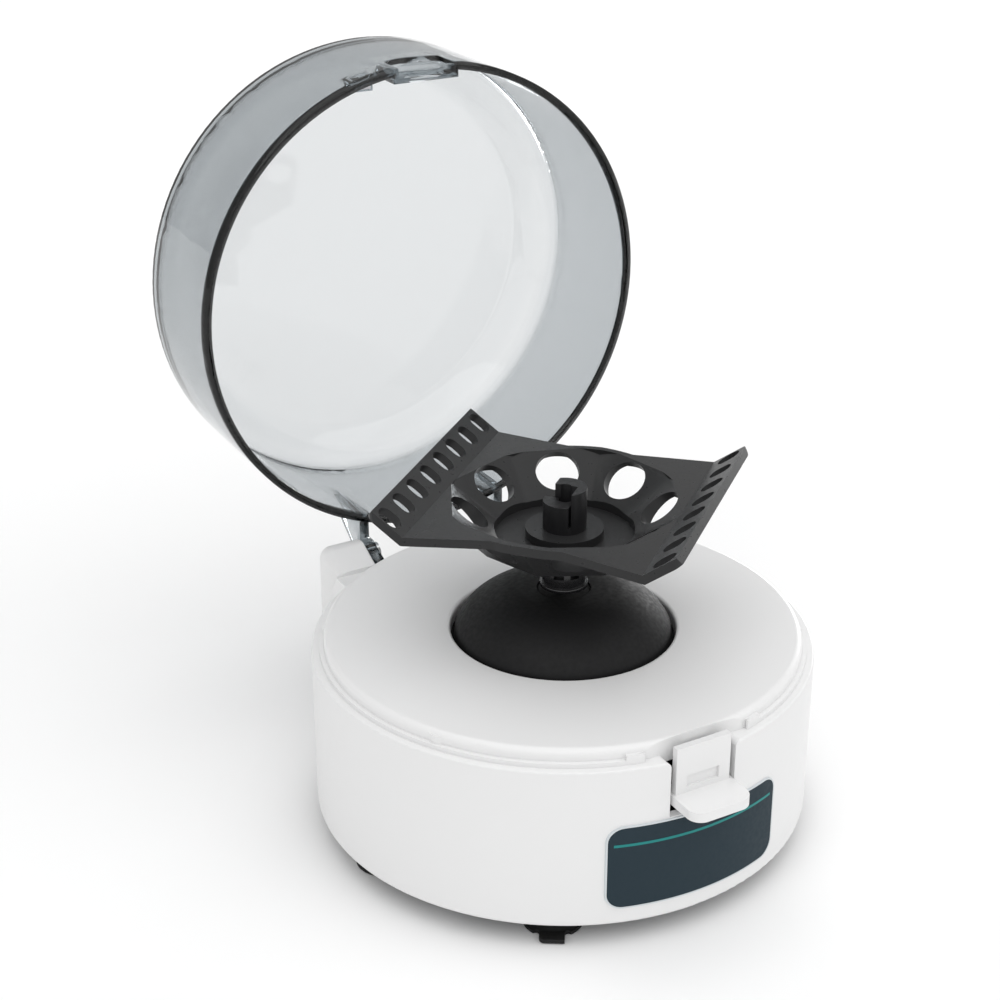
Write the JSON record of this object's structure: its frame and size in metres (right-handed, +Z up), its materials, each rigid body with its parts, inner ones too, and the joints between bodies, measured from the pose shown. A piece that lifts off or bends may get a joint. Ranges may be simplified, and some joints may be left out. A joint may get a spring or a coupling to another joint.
{
  "type": "mini centrifuge",
  "caption": "Bench mini centrifuge with a hinged smoky lid over a rotor for small tubes and tube strips, worked by a front latch and a rear switch.",
  "frame": {"origin": "point on the bench directly below the rotor, where the rotor axis meets the plane of the feet", "axes": "+Z up along the rotor axis; -Y toward the front, where the latch is; +Y toward the lid hinge; +X to the right as seen from the front"},
  "size_m": [0.1306, 0.1981, 0.1845],
  "materials": {
    "white_plastic": "gloss",
    "white_latch": "gloss",
    "grey_plastic": "satin",
    "label": "satin",
    "steel": "brushed",
    "spring_steel": "brushed",
    "smoky_lid": "gloss",
    "magnet": "plated",
    "board": "satin",
    "black_gloss": "gloss",
    "black_rubber": "matte",
    "black_plastic": "matte",
    "rotor_grey": "satin",
    "aluminium": "satin",
    "relay_blue": "satin",
    "red_wire": "matte",
    "black_wire": "matte"
  },
  "bodies": {
    "housing": {"base_shell": "white_plastic", "floor_plate": "grey_plastic", "label_panel": "label", "latch_pin": "steel", "latch_spring": "spring_steel", "hinge_pin_left": "steel", "hinge_pin_right": "steel", "lid_sensor": "board", "motor_cover": "black_gloss", "shaft_seal": "black_rubber", "motor_can": "steel", "motor_end_cap": "black_plastic", "motor_mount": "aluminium", "damper_1": "black_rubber", "damper_2": "black_rubber", "damper_3": "black_rubber", "mount_screw_1": "steel", "mount_screw_2": "steel", "mount_screw_3": "steel", "cover_screw_1": "steel", "cover_screw_2": "steel", "cover_screw_3": "steel", "case_screw_1": "steel", "case_screw_2": "steel", "case_screw_3": "steel", "case_screw_4": "steel", "board_screw_1": "steel", "board_screw_2": "steel", "board_screw_3": "steel", "board_screw_4": "steel", "control_board": "board", "capacitor": "aluminium", "relay": "relay_blue", "regulator": "black_plastic", "power_socket": "black_plastic", "socket_nut": "steel", "switch_body": "black_plastic", "motor_lead_1": "red_wire", "motor_lead_2": "black_wire", "foot_1": "black_rubber", "foot_2": "black_rubber", "foot_3": "black_rubber", "foot_4": "black_rubber", "foot_5": "black_rubber", "foot_6": "black_rubber"},
    "lid": {"lid": "smoky_lid", "lid_magnet": "magnet"},
    "rotor": {"drive_shaft": "steel", "drive_hub": "black_gloss", "rotor": "rotor_grey", "rotor_clip": "black_plastic"},
    "latch": {"latch": "white_latch"},
    "rocker": {"rocker": "black_plastic"}
  },
  "joints": [
    {"name": "lid_hinge", "type": "hinge", "parent": "housing", "child": "lid", "pos_m": [0, 0.07074, 0.04857], "axis": [1, 0, 0], "range_deg": [0, 90]},
    {"name": "rotor_spin", "type": "hinge", "parent": "housing", "child": "rotor", "pos_m": [0, 0, 0.0776], "axis": [0, 0, 1], "continuous": true},
    {"name": "latch_press", "type": "hinge", "parent": "housing", "child": "latch", "pos_m": [0, -0.06, 0.0375], "axis": [1, 0, 0], "range_deg": [0, 8], "stiffness_Nm_per_rad": 0.1, "springref_deg": -5.73, "deforming": ["latch_spring"]},
    {"name": "power_rocker", "type": "hinge", "parent": "housing", "child": "rocker", "pos_m": [-0.008, 0.0612, 0.023], "axis": [1, 0, 0], "range_deg": [0, 20]}
  ]
}
